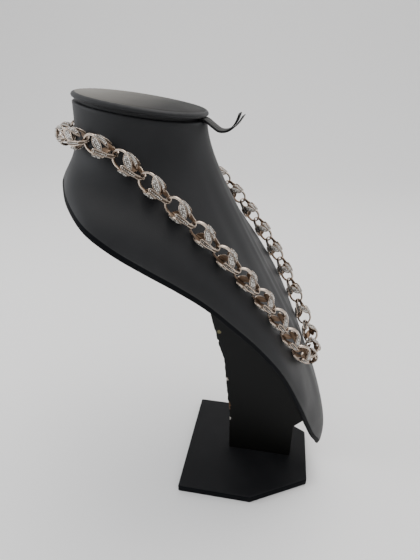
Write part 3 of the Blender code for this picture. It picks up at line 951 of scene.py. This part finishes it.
# %% [markdown]
# The stones are small round cuts: a table, eight crown facets and a girdle that disappears in the metal.
# Between them stand small silver beads, raised from the metal to hold the stones. In the channels of the end
# loop the stones are square and sit edge to edge between two rails, so they need no beads. Both are turned
# forms, given by a short profile.

# %% Stones and beads
STONE_SIDES = 8
BEAD_SIDES = 6
STONE_PROFILE = (
    # height and radius, as shares of the stone's radius
    (-0.30, 1.0),
    (0.12, 1.0),
    (0.42, 0.56),
)
BEAD_PROFILE = (
    (-0.8, 1.0),
    (0.5, 0.87),
    (1.0, 0.4),
)


def set_turned(shape, profile, sides, start, material, place, normal, along, radius):
    """A turned form on the metal, closed below and above."""
    side = normal.cross(along).normalized()
    along = side.cross(normal).normalized()
    turns = [start + 2 * math.pi * k / sides for k in range(sides)]
    rings = []
    for height, wide in profile:
        middle = place + normal * radius * height
        rings.append([middle + (side * math.cos(t) + along * math.sin(t)) * (radius * wide) for t in turns])
    close_ends(shape, loft(shape, rings, finish=lambda row, k: material), material)


def set_stone(shape, place, normal, along, radius, sides=STONE_SIDES):
    set_turned(shape, STONE_PROFILE, sides, math.pi / sides, 2, place, normal, along, radius)


def set_bead(shape, place, normal, along, radius):
    set_turned(shape, BEAD_PROFILE, BEAD_SIDES, 0.0, 0, place, normal, along, radius)


print("facets of a round stone:", STONE_SIDES + 1)

# %% [markdown]
# A leaf is a pointed oval plate on the cage's own round surface. Its long axis slants from the edge of a ring
# arm, near the start hole, to the edge of an end arm, nearer the slot. It is laid out flat, as place along
# the link and way round it, and then wrapped on the cage, whose radius eases from one loop to the other.

# %% Leaves
CAGE_RADIUS = 0.0061
LEAF_FROM = (0.325, 0.78)     # at the ring arm: place in lengths, and way from the end arm to the ring arm
LEAF_TO = (0.665, 0.235)      # at the end arm
LEAF_HALF_WIDTH = 0.0021
LEAF_WALL = 0.0010
LEAF_CROWN = 0.00022
LEAF_LENGTH_STEPS = 12
LEAF_WIDTH_STEPS = 6
LEAF_STONE_ROWS = (1, 2, 3, 3, 3, 3, 3, 2, 1)
LEAF_STONE = 0.00044
LEAF_STONE_STEP = 2.35        # between two stones of a row, in their radius
LEAF_RAIL = 0.00020
LEAF_BEAD = 0.00015
LEAF_BEAD_AHEAD = 0.062       # place of a bead along the leaf and across it, from its stone
LEAF_BEAD_ASIDE = 0.18
LEAF_STEP = 0.01              # for the direction of the surface
CAGE = (
    # place in lengths, distance of the end arm and of the ring arm in RING_RADIUS
    (0.00, 0.97, 0.97),
    (0.30, 0.98, 1.00),
    (0.48, 0.97, 0.98),
    (0.62, 0.91, 0.92),
    (0.80, 0.76, 0.80),
)


def cage_point(x, way, lift=0.0):
    """Wraps a flat place on the cage. Way runs from 0 at the end arm to 1 at the ring arm."""
    angle = way * math.pi / 2
    wide, high = read_table(CAGE, x / LINK_LENGTH)
    y = math.cos(angle) * (wide * RING_RADIUS + lift)
    z = math.sin(angle) * (high * RING_RADIUS + lift)
    return Vector((x, y, z))


def leaf_half(t):
    return LEAF_HALF_WIDTH * math.sin(math.pi * (0.03 + 0.94 * t)) ** 0.75


def leaf_point(t, u, lift=0.0):
    """T runs along the leaf from 0 to 1, and u across it from -1 to 1."""
    way_length = CAGE_RADIUS * math.pi / 2
    start = Vector((LEAF_FROM[0] * LINK_LENGTH, LEAF_FROM[1] * way_length))
    end = Vector((LEAF_TO[0] * LINK_LENGTH, LEAF_TO[1] * way_length))
    run = end - start
    over = Vector((-run.y, run.x)).normalized()
    flat = start + run * t + over * u * leaf_half(t)
    return cage_point(flat.x, flat.y / way_length, lift + LEAF_CROWN * (1 - u * u))


def leaf_normal(t, u):
    along = leaf_point(t + LEAF_STEP, u) - leaf_point(t - LEAF_STEP, u)
    across = leaf_point(t, u + LEAF_STEP) - leaf_point(t, u - LEAF_STEP)
    normal = along.cross(across).normalized()
    return normal if normal.dot(Vector((0.0, 1.0, 1.0))) > 0 else -normal


def make_leaf(shape):
    shares = [i / LEAF_LENGTH_STEPS for i in range(LEAF_LENGTH_STEPS + 1)]
    across = [2 * j / LEAF_WIDTH_STEPS - 1 for j in range(LEAF_WIDTH_STEPS + 1)]

    def finish(_, k):
        return 3 if k < len(across) else 1 if k < 2 * len(across) - 1 else 0

    rings = []
    for t in shares:
        outer = [leaf_point(t, u) for u in across]
        inner = [leaf_point(t, u, -LEAF_WALL) for u in across[::-1]]
        rings.append(outer + inner)
    close_ends(shape, loft(shape, rings, finish=finish))
    outline = [(t, -1.0) for t in shares] + [(t, 1.0) for t in shares[::-1]]
    make_rail(shape, [leaf_point(t, u) for t, u in outline], [leaf_normal(t, u) for t, u in outline],
              LEAF_RAIL, closed=True)
    count = len(LEAF_STONE_ROWS)
    for i, stones in enumerate(LEAF_STONE_ROWS):
        t = (i + 0.8) / (count + 0.6)
        for j in range(stones):
            u = (j - (stones - 1) / 2) * LEAF_STONE_STEP * LEAF_STONE / leaf_half(t)
            normal = leaf_normal(t, u)
            along = leaf_point(t + LEAF_STEP, u) - leaf_point(t, u)
            set_stone(shape, leaf_point(t, u, 0.00002), normal, along, LEAF_STONE)
            ahead = min(t + LEAF_BEAD_AHEAD, 0.97)
            set_bead(shape, leaf_point(ahead, u * 0.9 + LEAF_BEAD_ASIDE, 0.00004), normal, along, LEAF_BEAD)


print("stones on a leaf:", sum(LEAF_STONE_ROWS))

# %% [markdown]
# Now the parts come together. The ring arms carry two rows of round stones between two rails, the end arms a
# channel of square stones between two heavier rails that run on round the end loop. One leaf is made and
# copied three times by mirroring. The rows start where the bare, polished turn of each loop ends.

# %% One link
PAVE_START = 0.330
PAVE_END = 0.640
RING_STONES = 9
RING_STONE = 0.00045
RING_ROW = 0.33           # how far the two rows lie from the middle, as a share of half the width
RING_SINK = 0.00030
SINK_FROM = 0.28          # places between which the ring arm's ground goes down
SINK_TO = 0.33
CHANNEL_START = 0.475
CHANNEL_END = 0.800
CHANNEL_STONES = 7
CHANNEL_STONE = 0.00050
END_SINK = 0.00055
RING_RAIL = 0.00024
RING_RAIL_INSET = 0.00030
RING_RAIL_START = 0.290
END_RAIL = 0.00036
END_RAIL_INSET = 0.00034
ROW_BEAD = 0.00014
LOOK_AHEAD = 0.0003


def ease(value, start, end):
    t = min(max((value - start) / (end - start), 0.0), 1.0)
    return t * t * (3 - 2 * t)


def between(frames, x, positive):
    """The frame at a place along one arm, read between two points."""
    half = len(frames) // 2
    arm = frames[:half] if positive else frames[half + 1:][::-1]
    a, b = next(pair for pair in zip(arm, arm[1:])
                if min(pair[0][0].x, pair[1][0].x) <= x <= max(pair[0][0].x, pair[1][0].x))
    t = (x - a[0].x) / (b[0].x - a[0].x)
    return a[0].lerp(b[0], t), a[1].lerp(b[1], t).normalized(), a[2] + (b[2] - a[2]) * t


def edge_rails(shape, frames, side, radius, inset, sink, start):
    """Rails along both edges of a band, on each run of points past start."""
    runs = [[]]
    for (place, normal, half), low in zip(frames, sink):
        if place.x > start:
            runs[-1].append((place, normal, max(half - inset, 0.00002), low - BAND_DOME * 0.3))
        elif runs[-1]:
            runs.append([])
    for edge in (1, -1):
        for run in filter(None, runs):
            places = [place + side * edge * offset - normal * low for place, normal, offset, low in run]
            make_rail(shape, places, [normal for _, normal, _, _ in run], radius)


def set_row(shape, frames, across_row, sink, start, end, count, radius, sides, beads):
    """A row of stones on both arms of a band, off its middle by a share of half its width."""
    for positive in (True, False):
        for i in range(count):
            x = LINK_LENGTH * (start + (end - start) * i / (count - 1))
            place, normal, half = between(frames, x, positive)
            ahead, _, _ = between(frames, x + LOOK_AHEAD, positive)
            along = (ahead - place).normalized()
            across = normal.cross(along).normalized()
            seat = place + across * across_row * half + normal * (BAND_DOME - sink)
            set_stone(shape, seat, normal, along, radius, sides)
            if beads:
                step = LINK_LENGTH * (end - start) / (count - 1) / 2
                set_bead(shape, seat + along * step, normal, along, ROW_BEAD)


def make_link_mesh():
    shape = bmesh.new()
    y = Vector((0.0, 1.0, 0.0))
    ring = line_frames(ring_line, UP, 1.0)
    end = line_frames(end_line, y, -1.0)
    ring_sink = [RING_SINK * ease(place.x / LINK_LENGTH, SINK_FROM, SINK_TO) for place, _, _ in ring]
    end_sink = [END_SINK] * len(end)
    make_band(shape, ring, y, ring_sink)
    make_band(shape, end, UP, end_sink)
    edge_rails(shape, ring, y, RING_RAIL, RING_RAIL_INSET, ring_sink, RING_RAIL_START * LINK_LENGTH)
    edge_rails(shape, end, UP, END_RAIL, END_RAIL_INSET, end_sink, 0.0)
    for row in (RING_ROW, -RING_ROW):
        set_row(shape, ring, row, RING_SINK, PAVE_START, PAVE_END, RING_STONES, RING_STONE, STONE_SIDES, True)
    set_row(shape, end, 0.0, END_SINK, CHANNEL_START, CHANNEL_END, CHANNEL_STONES, CHANNEL_STONE, 4, False)
    leaf = bmesh.new()
    make_leaf(leaf)
    spare = bpy.data.meshes.new("leaf")
    leaf.to_mesh(spare)
    leaf.free()
    for across, up in ((1, 1), (1, -1), (-1, 1), (-1, -1)):
        known = len(shape.verts)
        shape.from_mesh(spare)
        shape.verts.ensure_lookup_table()
        bmesh.ops.scale(shape, vec=(1, across, up), verts=shape.verts[known:])
    bpy.data.meshes.remove(spare)
    return finish_mesh("tulip_link", shape, [silver, inner_silver, stone_clear, dark_silver], 32)


link_mesh = make_link_mesh()
print("triangles of a link:", sum(len(face.vertices) - 2 for face in link_mesh.polygons))

# %% [markdown]
# The model's plain links say where each detailed link lies. A link's axes are the directions in which its
# points spread. The wider end is the start loop, and the plane in which that end spreads is the loop's own.

# %% The chain
END_SLICE = 0.0020


def link_place(node):
    """The matrix that takes a link's own axes to where its plain solid lies."""
    points = np.unique(np.round([list(v.co) for v in node.data.vertices], 6), axis=0)
    centre = points.mean(axis=0)
    _, directions = np.linalg.eigh(np.cov((points - centre).T))
    spots = (points - centre) @ directions
    along = spots[:, 2]
    low_end = spots[along < along.min() + END_SLICE][:, :2]
    high_end = spots[along > along.max() - END_SLICE][:, :2]
    starts_low = np.abs(low_end).max() > np.abs(high_end).max()
    axis = Vector(directions[:, 2]) if starts_low else -Vector(directions[:, 2])
    reach = -along.min() if starts_low else along.max()
    start_end = low_end if starts_low else high_end
    widest = int(np.argmax(np.abs(start_end).max(axis=0)))
    loop = Vector(directions[:, widest])
    matrix = Matrix((axis, loop.cross(axis), loop)).transposed().to_4x4()
    matrix.translation = Vector(centre) - axis * reach
    return matrix


link_names = sorted(name for name in nodes if name.startswith("link_"))
for name in link_names:
    add_piece("cast_" + name, link_mesh, "silver", name, place=link_place(nodes[name]))
print("links:", len(link_names))

# %% [markdown]
# The stand is shown on a plain pale floor that curves up into a wall far behind, so no edge crosses the
# picture. A soft white surround lights everything, one large lamp above gives the silver its highlights, and
# a weaker one behind the neck lights the far edges.

# %% The floor and the light
FLOOR_FRONT = -2.5
FLOOR_BACK = 1.2
FLOOR_HALF_WIDTH = 2.5
COVE_RADIUS = 0.6
WALL_HEIGHT = 2.2
COVE_STEPS = 16
BRIGHT_SIDE = (0.50, 0.45, 0.74)        # direction in which the surround is brightest
DARK_END = -0.7                         # how far away from it the surround is darkest
DARKEST = 0.50
BRIGHTEST = 1.32


def make_floor():
    profile = [(FLOOR_FRONT, 0.0)]
    for i in range(COVE_STEPS + 1):
        a = math.pi / 2 * i / COVE_STEPS
        profile.append((FLOOR_BACK + COVE_RADIUS * math.sin(a), COVE_RADIUS * (1 - math.cos(a))))
    profile.append((FLOOR_BACK + COVE_RADIUS, WALL_HEIGHT))
    shape = bmesh.new()
    loft(shape, [[(x, side, z) for x, z in profile] for side in (-FLOOR_HALF_WIDTH, FLOOR_HALF_WIDTH)],
         closed=False)
    material, shader = new_material("pale floor", (0.97, 0.965, 0.955), 0.85)
    floor = bpy.data.objects.new("floor", finish_mesh("floor", shape, [material]))
    scene.collection.objects.link(floor)


def add_lamp(name, place, aim, size, power, colour):
    data = bpy.data.lights.new(name, "AREA")
    data.shape = "SQUARE"
    data.size = size
    data.energy = power
    data.color = colour
    lamp = bpy.data.objects.new(name, data)
    lamp.location = place
    lamp.rotation_euler = (Vector(aim) - Vector(place)).to_track_quat("-Z", "Y").to_euler()
    scene.collection.objects.link(lamp)


def make_surround():
    """A soft surround, bright overhead and behind, and darker on the other side."""
    world = bpy.data.worlds.new("surround")
    scene.world = world
    world.use_nodes = True
    direction = add_node(world, "TexCoord", {}).outputs["Generated"]
    toward = add_node(world, "VectorMath", {0: direction, 1: BRIGHT_SIDE}, "DOT_PRODUCT")
    strength = rescale(world, toward.outputs["Value"], DARK_END, 1.0, DARKEST, BRIGHTEST)
    background = world.node_tree.nodes["Background"]
    background.inputs["Color"].default_value = (0.98, 0.985, 1.0, 1.0)
    world.node_tree.links.new(strength, background.inputs["Strength"])


make_floor()
make_surround()
add_lamp("top lamp", (0.30, -0.15, 1.30), (0.0, 0.05, 0.2), 0.9, 7.0, (1.0, 0.96, 0.92))
add_lamp("back lamp", (-0.35, 1.10, 0.70), (0.0, 0.08, 0.28), 0.6, 4.0, (0.93, 0.96, 1.0))
print("lamps: 2")
